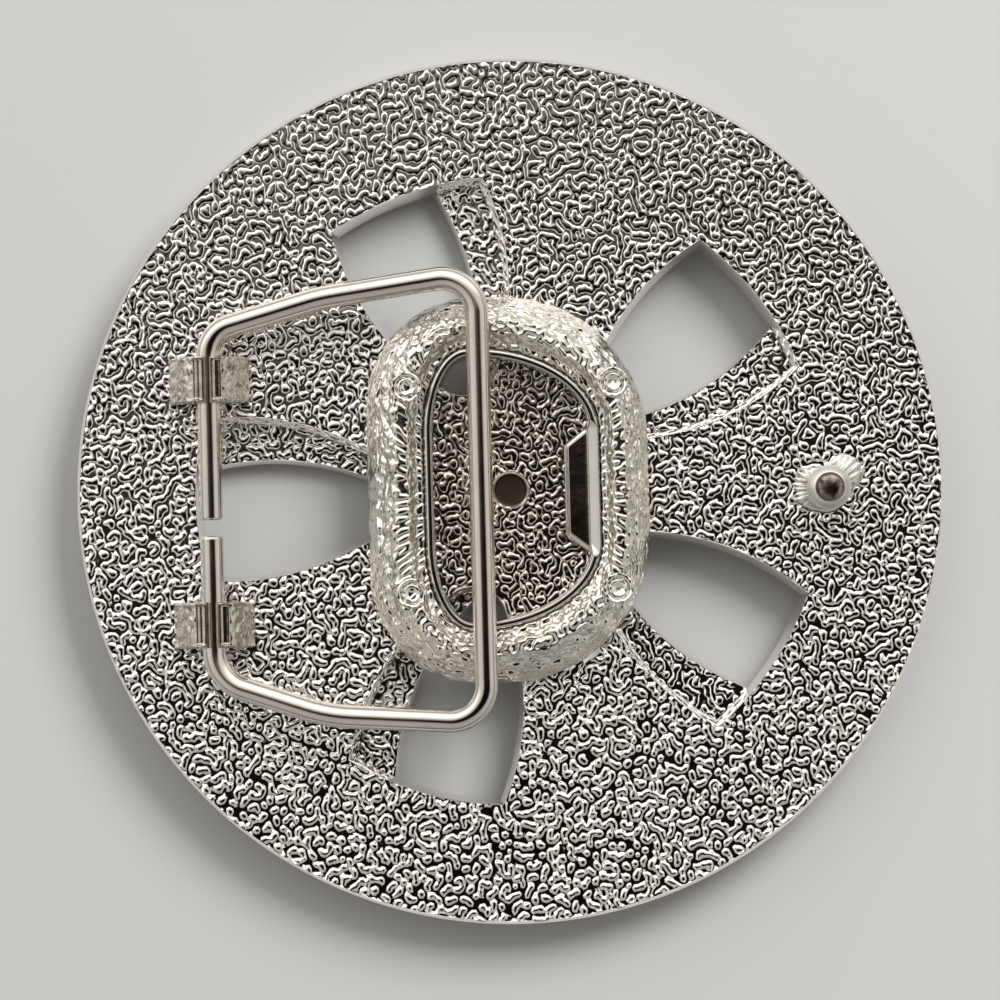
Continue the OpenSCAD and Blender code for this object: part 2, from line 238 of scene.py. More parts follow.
class Skin:
    """Random wrinkles: waves of about one length in every direction, as on a textured casting.
    A larger bias leaves narrower ridges, lean is how much it grows with y, and period makes x wrap."""

    def __init__(self, length, bias, seed, count=28, spread=0.15, period=None, stretch=(1, 1), lean=0):
        rng = np.random.default_rng(seed)
        a = (np.arange(count) + rng.uniform(-0.3, 0.3, count)) * math.pi / count
        k = 2 * math.pi / (length * (1 + rng.uniform(-spread, spread, count)))
        self.kx, self.ky = k * np.cos(a) / stretch[0], k * np.sin(a) / stretch[1]
        if period:
            self.kx = np.round(self.kx * period / (2 * math.pi)) * 2 * math.pi / period
        self.phase = rng.uniform(0, 2 * math.pi, count)
        self.k0 = 2 * math.pi / length
        self.bias, self.lean = bias, lean

    def depth(self, x, y):
        """Distance inside the outline of the nearest ridge, negative in the grooves."""
        f, gx, gy = np.zeros_like(x), np.zeros_like(x), np.zeros_like(x)
        for a, b, p in zip(self.kx, self.ky, self.phase):
            t = a * x + b * y + p
            s = np.sin(t)
            f += np.cos(t)
            gx -= a * s
            gy -= b * s
        n = math.sqrt(len(self.phase) / 2)
        return np.arctan2(self.k0 * (f / n - self.bias - self.lean * y), np.hypot(gx, gy) / n) / self.k0

    def height(self, x, y):
        return np.interp(self.depth(x, y), *SKIN_HEIGHT)

    def normal(self, x, y, strength=1.0, crown=1.0, step=0.02):
        """Unit normals of the wrinkled surface over a flat one. crown is for the ridges' tops alone."""
        dx = (self.depth(x + step, y) - self.depth(x - step, y)) / (2 * step)
        dy = (self.depth(x, y + step) - self.depth(x, y - step)) / (2 * step)
        depth = self.depth(x, y)
        s = np.interp(depth, *SKIN_SLOPE) * strength
        s *= 1 + (crown - 1) * np.interp(depth, SKIN_LEVELS[1:], [0, 1])
        n = np.stack([-s * dx, -s * dy, np.ones_like(x)], -1)
        return n / np.linalg.norm(n, axis=-1, keepdims=True)


def level_lines(field, level, origin, step):
    """Lines along which a gridded field has one value, as (points, closed) pairs."""
    above = field > level
    across = above[:, 1:] != above[:, :-1]
    along = above[1:] != above[:-1]
    across_id = np.full(across.shape, -1)
    across_id[across] = np.arange(across.sum())
    along_id = np.full(along.shape, -1)
    along_id[along] = across.sum() + np.arange(along.sum())
    i, j = np.nonzero(across)
    t = (level - field[i, j]) / (field[i, j + 1] - field[i, j])
    p_across = np.c_[(j + t), i]
    i, j = np.nonzero(along)
    t = (level - field[i, j]) / (field[i + 1, j] - field[i, j])
    points = origin + step * np.r_[p_across, np.c_[j, i + t]]
    sides = np.stack([across_id[:-1], across_id[1:], along_id[:, :-1], along_id[:, 1:]], -1)
    hits = (sides >= 0).sum(-1)
    links = [np.sort(sides[hits == 2], axis=1)[:, 2:]]
    for i, j in np.argwhere(hits == 4):
        low, high, left, right = sides[i, j]
        if (field[i:i + 2, j:j + 2].mean() > level) == above[i, j]:
            links.append(np.array([[low, right], [high, left]]))
        else:
            links.append(np.array([[low, left], [high, right]]))
    nearby = [[] for _ in points]
    for a, b in np.concatenate(links).tolist():
        nearby[a].append(b)
        nearby[b].append(a)
    seen = bytearray(len(points))
    ends = [k for k in range(len(points)) if len(nearby[k]) == 1]
    lines = []
    for first in ends + list(range(len(points))):
        if seen[first]:
            continue
        path, here = [first], first
        seen[first] = 1
        while True:
            ahead = [k for k in nearby[here] if not seen[k]]
            if not ahead:
                break
            here = ahead[0]
            seen[here] = 1
            path.append(here)
        lines.append((points[path], len(path) > 2 and first in nearby[here]))
    return lines


def resampled(points, closed, step, shortest=0.6):
    """The same line with evenly spaced points, or None when it is very short."""
    p = np.r_[points, points[:1]] if closed else points
    d = np.r_[0, np.cumsum(np.hypot(*np.diff(p, axis=0).T))]
    if d[-1] < shortest:
        return None
    t = np.linspace(0, d[-1], max(3, round(d[-1] / step)) + 1)
    q = np.c_[np.interp(t, d, p[:, 0]), np.interp(t, d, p[:, 1])]
    return q[:-1] if closed else q


def skin_sheet(skin, loops, clear, step, reach, grid=0.1, margin=0.13):
    """Triangles of a flat area between loops, laid along the skin's level lines.
    clear(x, y) is the distance inside the area. Returns points, triangles and each loop's points."""
    axis = np.arange(-reach, reach, grid)
    x, y = np.meshgrid(axis, axis)
    depth = skin.depth(x, y)
    points, edges, loop_ids, count = [], [], [], 0
    for loop in loops:
        ids = count + np.arange(len(loop))
        points.append(loop)
        edges.append(np.c_[ids, np.roll(ids, -1)])
        loop_ids.append(ids)
        count += len(loop)
    for level, share in zip(SKIN_LEVELS, SKIN_STEPS):
        for line, closed in level_lines(depth, level, axis[0], grid):
            q = resampled(line, closed, step * share)
            if q is None:
                continue
            keep = clear(q[:, 0], q[:, 1]) > margin
            ids = np.full(len(q), -1)
            ids[keep] = count + np.arange(keep.sum())
            count += keep.sum()
            points.append(q[keep])
            after = np.roll(ids, -1) if closed else np.r_[ids[1:], -1]
            linked = (ids >= 0) & (after >= 0)
            edges.append(np.c_[ids[linked], after[linked]])
    points, edges = np.concatenate(points), np.concatenate(edges)
    out = delaunay_2d_cdt([Vector(p) for p in points.tolist()], edges.tolist(), [], 0, 1e-6)
    flat = np.array([tuple(p) for p in out[0]])
    place = np.zeros(len(points), int)
    for k, origins in enumerate(out[3]):
        place[origins] = k
    tris = np.array(out[2])
    mid = flat[tris].mean(1)
    tris = tris[clear(mid[:, 0], mid[:, 1]) > 0]
    return flat, tris, [place[ids] for ids in loop_ids]


class Build:
    """Points and faces of a mesh under construction."""

    def __init__(self):
        self.points, self.faces, self.count = [], [], 0

    def add(self, points):
        ids = self.count + np.arange(len(points))
        self.points.append(np.asarray(points, float))
        self.count += len(points)
        return ids

    def ring(self, flat, z):
        """Points of an outline at one height."""
        return self.add(np.c_[flat, np.full(len(flat), float(z))])

    def strip(self, a, b, closed=True):
        """Quads between two rows of points."""
        n = len(a) if closed else len(a) - 1
        for k in range(n):
            m = (k + 1) % len(a)
            self.faces.append((a[k], a[m], b[m], b[k]))

    def rows(self, rows, closed=True):
        for a, b in zip(rows[:-1], rows[1:]):
            self.strip(a, b, closed)

    def fan(self, ids, point, flip=False):
        """Closes a row of points onto one point."""
        (tip,) = self.add([point])
        for k in range(len(ids)):
            face = (ids[k], ids[(k + 1) % len(ids)], tip)
            self.faces.append(face[::-1] if flip else face)

    def flat_area(self, loops, clear):
        """Triangles between outlines whose points are already there."""
        everything = np.concatenate(self.points)
        ids = np.concatenate(loops)
        start, edges = 0, []
        for loop in loops:
            own = start + np.arange(len(loop))
            edges.append(np.c_[own, np.roll(own, -1)])
            start += len(loop)
        flat = [Vector(p) for p in everything[ids][:, :2].tolist()]
        out = delaunay_2d_cdt(flat, np.concatenate(edges).tolist(), [], 0, 1e-6)
        back = [ids[origins[0]] for origins in out[3]]
        for face in out[2]:
            mid = sum((out[0][k] for k in face), Vector((0, 0))) / len(face)
            if clear(np.array([mid.x]), np.array([mid.y]))[0] > 0:
                self.faces.append(tuple(back[k] for k in face))


def make_piece(name, build, material, body, stands_for, sharp=32, skin_normals=None):
    """A mesh object from a build. skin_normals are normals for the first points and faces."""
    mesh = bpy.data.meshes.new(name)
    points = np.concatenate(build.points) * MM
    mesh.from_pydata(points.tolist(), [], [tuple(int(k) for k in f) for f in build.faces])
    mesh.validate()
    fix_facing(mesh)
    mesh.shade_smooth()
    mesh.set_sharp_from_angle(angle=math.radians(sharp))
    if skin_normals is not None:
        normals, n_faces = skin_normals
        loops = np.zeros(len(mesh.loops) * 3, np.float32)
        mesh.corner_normals.foreach_get("vector", loops)
        loops = loops.reshape(-1, 3)
        vertex = np.zeros(len(mesh.loops), int)
        mesh.loops.foreach_get("vertex_index", vertex)
        corners = 3 * n_faces
        loops[:corners] = normals[vertex[:corners]]
        mesh.normals_split_custom_set(loops.tolist())
    mesh.materials.append(material)
    obj = bpy.data.objects.new(name, mesh)
    bpy.context.scene.collection.objects.link(obj)
    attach(obj, body)
    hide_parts(stands_for)


def fix_facing(mesh):
    """Turns all faces outward."""
    bm = bmesh.new()
    bm.from_mesh(mesh)
    bmesh.ops.recalc_face_normals(bm, faces=bm.faces)
    bm.to_mesh(mesh)
    bm.free()


# Materials

# Colours are linear, and the scales of the grain and clouds are per metre
GRAIN_DEPTH = 0.02


def metal(name, colour, roughness, grain=0.25, wear=0.04, grain_scale=900, cloud_scale=220):
    """Plated metal with a fine grain, and clouds in its sheen and colour. wear is how much they darken it."""
    mat = bpy.data.materials.new(name)
    mat.use_nodes = True
    nodes, links = mat.node_tree.nodes, mat.node_tree.links
    shader = nodes["Principled BSDF"]
    shader.inputs["Metallic"].default_value = 1.0
    where = nodes.new("ShaderNodeTexCoord")
    cloud = nodes.new("ShaderNodeTexNoise")
    cloud.inputs["Scale"].default_value = cloud_scale
    cloud.inputs["Detail"].default_value = 6
    links.new(where.outputs["Object"], cloud.inputs["Vector"])
    tint = nodes.new("ShaderNodeMix")
    tint.data_type = "RGBA"
    tint.inputs[6].default_value = (*[c * (1 - 2 * wear) for c in colour], 1)
    tint.inputs[7].default_value = (*colour, 1)
    patches = nodes.new("ShaderNodeMapRange")
    patches.inputs["From Min"].default_value = 0.32
    patches.inputs["From Max"].default_value = 0.68
    links.new(cloud.outputs["Fac"], patches.inputs["Value"])
    links.new(patches.outputs["Result"], tint.inputs[0])
    links.new(tint.outputs[2], shader.inputs["Base Color"])
    sheen = nodes.new("ShaderNodeMapRange")
    sheen.inputs["To Min"].default_value = roughness * 0.6
    sheen.inputs["To Max"].default_value = roughness * 1.5
    links.new(cloud.outputs["Fac"], sheen.inputs["Value"])
    links.new(sheen.outputs["Result"], shader.inputs["Roughness"])
    fine = nodes.new("ShaderNodeTexNoise")
    fine.inputs["Scale"].default_value = grain_scale
    fine.inputs["Detail"].default_value = 4
    links.new(where.outputs["Object"], fine.inputs["Vector"])
    bump = nodes.new("ShaderNodeBump")
    bump.inputs["Strength"].default_value = grain
    bump.inputs["Distance"].default_value = GRAIN_DEPTH * MM
    links.new(fine.outputs["Fac"], bump.inputs["Height"])
    links.new(bump.outputs["Normal"], shader.inputs["Normal"])
    return mat


def shaded_in_opener(mat):
    """The same metal, with painted shade inside the opener: its colour is darker and browner there, where the
    ring around it shades the plate.
    """
    nodes, links = mat.node_tree.nodes, mat.node_tree.links
    base = nodes["Principled BSDF"].inputs["Base Color"]
    where = nodes.new("ShaderNodeTexCoord")
    across = nodes.new("ShaderNodeVectorMath")
    across.operation = "MULTIPLY"
    across.inputs[1].default_value = (1 / (MOUTH_X * MM), 1 / (MOUTH_Y * MM), 0)
    links.new(where.outputs["Object"], across.inputs[0])
    far = nodes.new("ShaderNodeVectorMath")
    far.operation = "LENGTH"
    links.new(across.outputs["Vector"], far.inputs[0])
    share = nodes.new("ShaderNodeMapRange")
    share.inputs["From Min"].default_value = 0.8
    share.inputs["From Max"].default_value = 1.15
    share.inputs["To Min"].default_value = 1
    share.inputs["To Max"].default_value = 0
    links.new(far.outputs["Value"], share.inputs["Value"])
    # Painted shade: the colour is multiplied darker and browner inside the opener
    opener_shade = nodes.new("ShaderNodeMix")
    opener_shade.data_type = "RGBA"
    opener_shade.blend_type = "MULTIPLY"
    opener_shade.inputs[7].default_value = (0.80, 0.755, 0.71, 1)
    links.new(share.outputs["Result"], opener_shade.inputs[0])
    links.new(base.links[0].from_socket, opener_shade.inputs[6])
    links.new(opener_shade.outputs[2], base)
    return mat


CAST = metal("plated_casting", (0.94, 0.92, 0.89), 0.07)
# The plate's back gets painted shade inside the opener
BACK = shaded_in_opener(metal("plated_back", (0.94, 0.915, 0.88), 0.07))
SATIN = metal("satin_casting", (0.88, 0.845, 0.77), 0.11, grain=0.6, wear=0.12, grain_scale=2600)
WIRE = metal("plated_wire", (0.76, 0.715, 0.655), 0.12)
BRIGHT = metal("bright_plate", (0.72, 0.69, 0.65), 0.10)
MIRROR = metal("bright_tongue", (0.62, 0.55, 0.49), 0.11, grain=0.5, wear=0.2, grain_scale=1500,
               cloud_scale=700)
WORN = metal("worn_rivet", (0.88, 0.85, 0.78), 0.13, grain=0.7, grain_scale=1600)
STUD = metal("plated_stud", (0.82, 0.79, 0.73), 0.3, grain=0.4)
LUG = metal("satin_lug", (0.68, 0.64, 0.565), 0.12, grain=0.6, wear=0.2, grain_scale=2600, cloud_scale=900)
# The dome's dark brown base colour is a painted dark reflection of the camera side above it; its clouds give
# random mottling
DOME_PAINTED_DARK = metal("mottled_dome_painted_dark", (0.40, 0.34, 0.29), 0.18, grain=1.0, wear=0.46, grain_scale=1300,
             cloud_scale=1300)
FOOT = metal("smooth_casting", (0.78, 0.755, 0.70), 0.24, grain=0.9, wear=0.1, grain_scale=1800,
             cloud_scale=900)
TURNED = metal("turned_axle", (0.12, 0.09, 0.07), 0.35)


# Back plate

# From the skin down each edge: distance into the metal from the wall, and height over the back face
WINDOW_EDGE = [(0.62, 0), (0.57, -0.03), (0.53, -0.12), (0.04, -2.1)]
RIM_EDGE = [(0.34, 0), (0.31, -0.03), (0.05, -0.29), (0.0, -0.4)]
HOLE_EDGE = [(0.45, 0), (0.34, -0.04), (0.12, -0.2), (0.0, -0.42)]


def on_ring_band(x, y):
    """True where the opener's ring hides the plate."""
    p = turned(np.c_[x, y], -LAYOUT_TURN) - [OPENER_SHIFT, 0]
    in_ring = rounded_gap(p, RING_X - 0.9, RING_Y - 0.7, 13) < 0
    return in_ring & (rounded_gap(p, MOUTH_X + 0.8, MOUTH_Y + 0.8, MOUTH_CORNER) > 0)


def rounded_gap(p, x, y, r):
    """Distance outside a box with rounded corners."""
    q = np.abs(p) - [x - r, y - r]
    return np.hypot(*np.maximum(q, 0).T) + np.minimum(q.max(1), 0) - r


def plate_clear(x, y, grow, edge_r, hole_r):
    """Distance inside the plate's flat area."""
    d = np.minimum(edge_r - np.hypot(x, y), np.hypot(x, y) - hole_r)
    for turn in window_turns():
        d = np.minimum(d, window_clear(x, y, turn, grow))
    return d


def skin_strength(x, y):
    """The wrinkles are softer towards +Y and inside the opener, and their tops are flatter there."""
    p = turned(np.c_[x, y], -LAYOUT_TURN) - [OPENER_SHIFT, 0]
    inside = np.clip(0.5 - rounded_gap(p, MOUTH_X, MOUTH_Y, MOUTH_CORNER), 0, 1)
    strength = np.interp(y, [-40, 0, 40], [1.15, 0.88, 0.62]) * (1 - 0.25 * inside)
    crown = np.interp(y, [-40, 0, 40], [1.1, 0.85, 0.42]) * (1 - 0.4 * inside)
    return strength, crown


def make_plate():
    skin = Skin(SKIN_LENGTH, SKIN_BIAS, 3, spread=SKIN_SPREAD, lean=SKIN_LEAN)
    edge_r, hole_r, grow = PLATE_R - RIM_EDGE[0][0], HOLE_R + HOLE_EDGE[0][0], WINDOW_EDGE[0][0]
    foot = 0.15

    def clear(x, y):
        d = plate_clear(x, y, grow, edge_r, hole_r)
        # No level lines are laid where the ring hides the skin
        return np.where(on_ring_band(x, y), np.minimum(d, 0.1), d)

    loops = [circle(edge_r, RIM_POINTS), circle(hole_r, HOLE_POINTS)]
    loops += [window_outline(grow, t) for t in window_turns()]
    flat, tris, ids = skin_sheet(skin, loops, clear, SKIN_STEP, PLATE_R)
    build = Build()
    build.add(np.c_[flat, BACK_Z + skin.height(*flat.T)])
    build.faces = [tuple(t) for t in tris]
    n_faces = len(tris)
    normals = skin.normal(*flat.T, *skin_strength(*flat.T))
    front = []
    # Outer edge, from the back face down to the front rim and in to the web
    rim = [ids[0]]
    for inset, dz in RIM_EDGE[1:]:
        rim.append(build.ring(circle(PLATE_R - inset, RIM_POINTS), BACK_Z + dz))
    for r, z in [(PLATE_R, FRONT_EDGE), (PLATE_R - FRONT_EDGE, 0), (RIM_IN_R + RIM_IN_EDGE, 0),
                 (RIM_IN_R, RIM_IN_EDGE), (RIM_IN_R, WEB_Z - WEB_EDGE), (RIM_IN_R - WEB_EDGE, WEB_Z)]:
        rim.append(build.ring(circle(r, RIM_POINTS), z))
    build.rows(rim)
    front.append(rim[-1])
    hole = [ids[1]]
    hole += [build.ring(circle(HOLE_R + g, HOLE_POINTS), BACK_Z + dz) for g, dz in HOLE_EDGE[1:]]
    hole += [build.ring(circle(HOLE_R, HOLE_POINTS), WEB_Z)]
    build.rows(hole)
    front.append(hole[-1])
    for turn, top in zip(window_turns(), ids[2:]):
        rows = [top] + [build.ring(window_outline(g, turn), BACK_Z + dz) for g, dz in WINDOW_EDGE[1:]]
        rows.append(build.ring(window_outline(0, turn), WEB_Z + foot))
        rows.append(build.ring(window_outline(foot, turn), WEB_Z))
        build.rows(rows)
        front.append(rows[-1])
    build.flat_area(front, lambda x, y: plate_clear(x, y, foot, RIM_IN_R - WEB_EDGE, HOLE_R))
    make_piece("plate", build, BACK, "back", "back_plate", skin_normals=(normals, n_faces))


# Spinner wheel

# The same for the wheel's windows
WHEEL_EDGE = [(0.40, 0), (0.36, -0.03), (0.32, -0.1), (0.03, -1.25)]


def make_wheel():
    skin = Skin(WHEEL_SKIN_LENGTH, SKIN_BIAS, 11, spread=SKIN_SPREAD, lean=SKIN_LEAN)
    bore_r = AXLE_R + AXLE_GAP
    top = WHEEL_Z + WHEEL_T
    turns = window_turns(WHEEL_TURN)

    def clear(x, y, grow=WHEEL_EDGE[0][0], hole=BORE_EDGE):
        r = np.hypot(x, y)
        d = np.minimum(WHEEL_R - WHEEL_BEVEL - r, r - bore_r - hole)
        for turn in turns:
            d = np.minimum(d, window_clear(x, y, turn, grow))
        return d

    loops = [circle(WHEEL_R - WHEEL_BEVEL, RIM_POINTS), circle(bore_r + BORE_EDGE, HOLE_POINTS)]
    loops += [window_outline(WHEEL_EDGE[0][0], t) for t in turns]
    flat, tris, ids = skin_sheet(skin, loops, clear, WHEEL_SKIN_STEP, WHEEL_R)
    build = Build()
    build.add(np.c_[flat, top - 0.02 + skin.height(*flat.T)])
    build.faces = [tuple(t) for t in tris]
    n_faces, normals = len(tris), skin.normal(*flat.T, 0.8)
    rows = [ids[0]] + [build.ring(circle(r, RIM_POINTS), z) for r, z in [
        (WHEEL_R, top - WHEEL_BEVEL), (WHEEL_R, WHEEL_Z + WHEEL_BEVEL), (WHEEL_R - WHEEL_BEVEL, WHEEL_Z)]]
    build.rows(rows)
    front = [rows[-1]]
    recess_r = AXLE_HEAD_R + HEAD_CLEAR
    floor_z = top - HUB_T
    bore = [ids[1]] + [build.ring(circle(r, HOLE_POINTS), z) for r, z in [
        (bore_r, top - BORE_EDGE), (bore_r, floor_z), (recess_r, floor_z), (recess_r, WHEEL_Z + BORE_EDGE),
        (recess_r + BORE_EDGE, WHEEL_Z)]]
    build.rows(bore)
    front.append(bore[-1])
    for turn, edge in zip(turns, ids[2:]):
        rows = [edge] + [build.ring(window_outline(g, turn), top + dz) for g, dz in WHEEL_EDGE[1:]]
        rows.append(build.ring(window_outline(0, turn), WHEEL_Z + WHEEL_WINDOW_EDGE))
        rows.append(build.ring(window_outline(WHEEL_WINDOW_EDGE, turn), WHEEL_Z))
        build.rows(rows)
        front.append(rows[-1])
    build.flat_area(front, lambda x, y: clear(x, y, WHEEL_WINDOW_EDGE, recess_r + BORE_EDGE - bore_r))
    make_piece("wheel", build, CAST, "wheel", "spinner_wheel", skin_normals=(normals, n_faces))


# Turned pieces

def lathe(profile, place, n=96):
    """A turned solid from (radius, height) pairs that start and end on the axis."""
    build = Build()
    x, y, z = place
    rows = [build.ring(circle(r, n, (x, y)), z + h) for r, h in profile[1:-1]]
    build.rows(rows)
    build.fan(rows[0], (x, y, z + profile[0][1]), flip=True)
    build.fan(rows[-1], (x, y, z + profile[-1][1]))
    return build


def make_axle():
    head_z = WHEEL_Z + WHEEL_T - HUB_T - HEAD_GAP - HEAD_T
    neck_r, end_z = HOLE_R - 0.05, BACK_Z - NECK_RECESS
    profile = [
        (0, head_z), (AXLE_HEAD_R - 0.3, head_z), (AXLE_HEAD_R, head_z + 0.3),
        (AXLE_HEAD_R, head_z + HEAD_T), (AXLE_R, head_z + HEAD_T), (AXLE_R, WEB_Z), (neck_r, WEB_Z),
        (neck_r, end_z - 0.15), (neck_r - 0.15, end_z), (0, end_z - 0.05),
    ]
    make_piece("axle", lathe(profile, (0, 0, 0)), TURNED, "back", "axle_pin")


def make_rivets():
    # The head has a raised rim, a groove and a dished middle
    profile = [
        (0, RIVET_FOOT - RIVET_SEAT), (RIVET_SHANK_R, RIVET_FOOT - RIVET_SEAT), (RIVET_SHANK_R, 0),
        (RIVET_R, 0), (RIVET_R, 0.62), (1.67, 0.76), (1.60, 0.84), (1.50, 0.87), (1.34, 0.82), (1.22, 0.74),
        (1.15, 0.62), (1.10, 0.60), (1.04, 0.68), (0.96, 0.76), (0.86, 0.79), (0.72, 0.75), (0.56, 0.66),
        (0.42, 0.56), (0.30, 0.50), (0.20, 0.42), (0.10, 0.22), (0, 0.2),
    ]
    dents = Skin(1.0, 0.0, 51, spread=0.5)
    for k, (sx, sy) in enumerate([(-1, 1), (1, 1), (-1, -1), (1, -1)]):
        x, y = turned([sx * RIVET_X + OPENER_SHIFT, sy * RIVET_Y], LAYOUT_TURN)
        build = lathe(profile, (x, y, BACK_Z + RIVET_SEAT))
        for row in build.points:
            on_top = row[:, 2] > BACK_Z + RIVET_SEAT + 0.5
            row[:, 2] += on_top * RIVET_DENT * (np.sin(3.2 * dents.depth(row[:, 0], row[:, 1])) - 0.4)
        make_piece(f"rivet_head_{k + 1}", build, WORN, "back", f"rivet_{k + 1}")


def make_stud():
    head_z = STUD_H - STUD_HEAD_T
    seat_z = STUD_H - 0.8
    profile = [
        (0, -STUD_SUNK), (STUD_R, -STUD_SUNK), (STUD_R, head_z - 0.8), (STUD_HEAD_R, head_z),
        (STUD_HEAD_R, head_z + 0.95), (2.36, head_z + 1.1), (2.26, head_z + 1.22), (2.12, head_z + 1.33),
        (1.66, seat_z + 0.08), (1.6, seat_z + 0.1), (1.54, seat_z + 0.04), (1.2, seat_z), (0, seat_z),
    ]
    make_piece("stud", lathe(profile, (STUD_X, STUD_Y, BACK_Z)), STUD, "back", "belt_stud")
    dome = [
        (0, -0.9), (STUD_DOME_R, -0.9), (STUD_DOME_R, -0.66), (1.42, -0.5), (1.35, -0.36), (1.24, -0.26),
        (1.1, -0.19), (0.92, -0.13), (0.7, -0.08), (0.48, -0.04), (0.25, -0.012), (0, 0),
    ]
    build = lathe(dome, (STUD_X, STUD_Y, BACK_Z + STUD_H))
    # The dome's dark colour is a painted dark reflection
    make_piece("stud_dome", build, DOME_PAINTED_DARK, "back", "belt_stud")


# Opener

def ring_frame(flat):
    """Turns and shifts opener outlines onto the plate."""
    return turned(flat + [OPENER_SHIFT, 0], LAYOUT_TURN)


# Section of the ring from its outer foot over the crest to the insert: share of the width, and height
RING_SECTION = [
    (0, 0), (0.008, 0.8), (0.035, 1.3), (0.10, 1.92), (0.165, 2.52), (0.195, 2.62), (0.212, 2.60),
    (0.25, 2.92), (0.34, 3.46), (0.42, 3.95), (0.48, 4.25), (0.52, 4.36), (0.56, RING_H), (0.68, RING_H),
    (0.71, 4.36), (0.76, 4.10), (0.84, 3.62), (0.87, 3.48), (0.90, 3.42), (0.975, 3.36), (0.993, 3.22),
    (1.0, 2.8),
]


def ring_section(step=0.085, width=6.0):
    """The ring's section with evenly spaced points."""
    p = np.array(RING_SECTION)
    d = np.r_[0, np.cumsum(np.hypot(np.diff(p[:, 0]) * width, np.diff(p[:, 1])))]
    t = np.linspace(0, d[-1], round(d[-1] / step) + 1)
    q = np.c_[np.interp(t, d, p[:, 0]), np.interp(t, d, p[:, 1])]
    for _ in range(2):
        q[1:-1] = (q[:-2] + 2 * q[1:-1] + q[2:]) / 4
    return q


def facing_out(grid):
    """Unit normals of a closed grid of points, away from its inside."""
    n = np.cross(np.roll(grid, -1, 0) - np.roll(grid, 1, 0), np.gradient(grid, axis=1))
    n /= np.linalg.norm(n, axis=-1, keepdims=True)
    return n * np.sign(n[:, grid.shape[1] // 2, 2])[:, None, None]


def make_ring(n_along=840):
    outer = d_outline(RING_X, RING_Y, RING_LEFT_R, RING_RIGHT_R, n_along) - [RING_LEAN, 0]
    inner = mouth_outline(INSERT_T / 2 + 0.05, 4000)
    # Each outer point is paired with the inner point at the same angle
    a_out = np.unwrap(np.arctan2(outer[:, 1], outer[:, 0]))
    a_in = np.unwrap(np.arctan2(inner[:, 1], inner[:, 0]))
    a_out += 2 * math.pi * np.round((a_in[0] - a_out[0]) / (2 * math.pi))
    a_ext = np.r_[a_in - 2 * math.pi, a_in, a_in + 2 * math.pi]
    inner = np.c_[[np.interp(a_out, a_ext, np.tile(inner[:, k], 3)) for k in (0, 1)]].T
    section = ring_section()
    share, lift = section.T
    crest = outer + (inner - outer) * RING_CREST
    along = np.r_[0, np.cumsum(np.hypot(*np.diff(crest, axis=0).T))]
    total = along[-1] + np.hypot(*(crest[0] - crest[-1]))
    width = np.hypot(*(outer - inner).T).mean()
    across = np.r_[0, np.cumsum(np.hypot(np.diff(share * width), np.diff(lift)))]
    points = outer[:, None, :] + (inner - outer)[:, None, :] * share[None, :, None]
    grid = np.concatenate([points, np.broadcast_to(lift, points.shape[:2])[..., None]], -1)
    s, t = np.meshgrid(along, across, indexing="ij")
    rungs = Skin(0.78, 0.2, 21, period=total, stretch=(1, 3.2), spread=0.15)
    crumple = Skin(1.15, 0.1, 24, period=total, spread=0.5)
    specks = Skin(0.8, 0.6, 22, period=total, spread=0.4)
    clouds = Skin(2.2, 0.0, 23, period=total, spread=0.5)
    on_crest = np.interp(share, [0.44, 0.52, 0.70, 0.75, 0.84, 0.89], [0, 1, 1, 0.4, 0.4, 0.9])
    # Rungs lie across the two long sides, and larger crumples take their place at the two ends
    way = np.roll(crest, -1, 0) - np.roll(crest, 1, 0)
    on_side = np.interp(np.abs(way[:, 1]) / np.hypot(*way.T), [0.78, 0.93], [0, 1])[:, None]
    height = np.interp(rungs.depth(s, t), [-0.07, 0.0, 0.05], [-0.12, -0.02, 0.01]) * on_crest * on_side
    folds = np.interp(crumple.depth(s, t), [-0.14, -0.02, 0.2], [-0.17, -0.03, 0.05])
    height += folds * on_crest * (1 - on_side)
    height += np.interp(specks.depth(s, t), [-0.05, 0.06, 0.2], [0, 0.11, 0.13]) * (1 - on_crest)
    height += 0.13 * np.sin(clouds.depth(s, t) * 3) * (1 - on_crest)
    # The relief fades out at the ring's outer foot and at the insert
    fade = np.interp(across, [0, 0.5, 2.0, 3.0], [0, 0.4, 0.5, 1])
    fade = np.minimum(fade, (across[-1] - across) / 0.25)[None, :]
    grid = grid + facing_out(grid) * (height * fade)[..., None]
    grid[..., 2] = np.maximum(grid[..., 2], 0)
    build = Build()
    rows = []
    for k in range(len(share)):
        rows.append(build.add(np.c_[ring_frame(grid[:, k, :2]), BACK_Z + grid[:, k, 2]]))
    foot_out, foot_in = [build.ring(ring_frame(line), BACK_Z - RING_SUNK) for line in (outer, inner)]
    build.rows([foot_out, *rows, foot_in, foot_out])
    make_piece("ring", build, SATIN, "back", "opener_ring", sharp=180)


# Section of the insert from its outer foot over the lip to its inner foot, along the opening and at
# the tongue's root: distance outside the opening's outline, and height
LIP = [
    (0.40, -0.2), (0.40, 2.85), (0.37, 3.0), (0.29, 3.14), (0.18, 3.24), (0.05, 3.29), (-0.02, INSERT_H),
    (-0.32, INSERT_H), (-0.38, 3.28), (-0.46, 3.2), (-0.52, 3.05), (-0.58, 2.8), (-0.78, -0.2),
]
ROOT = [
    (0.40, -0.2), (0.40, 3.05), (0.39, 3.15), (0.37, 3.22), (0.34, 3.26), (0.30, 3.28), (0.24, 3.27),
    (-0.20, 3.03), (-0.60, 2.82), (-0.74, 2.76), (-0.78, 2.72), (-0.80, 2.66), (-0.82, -0.2),
]


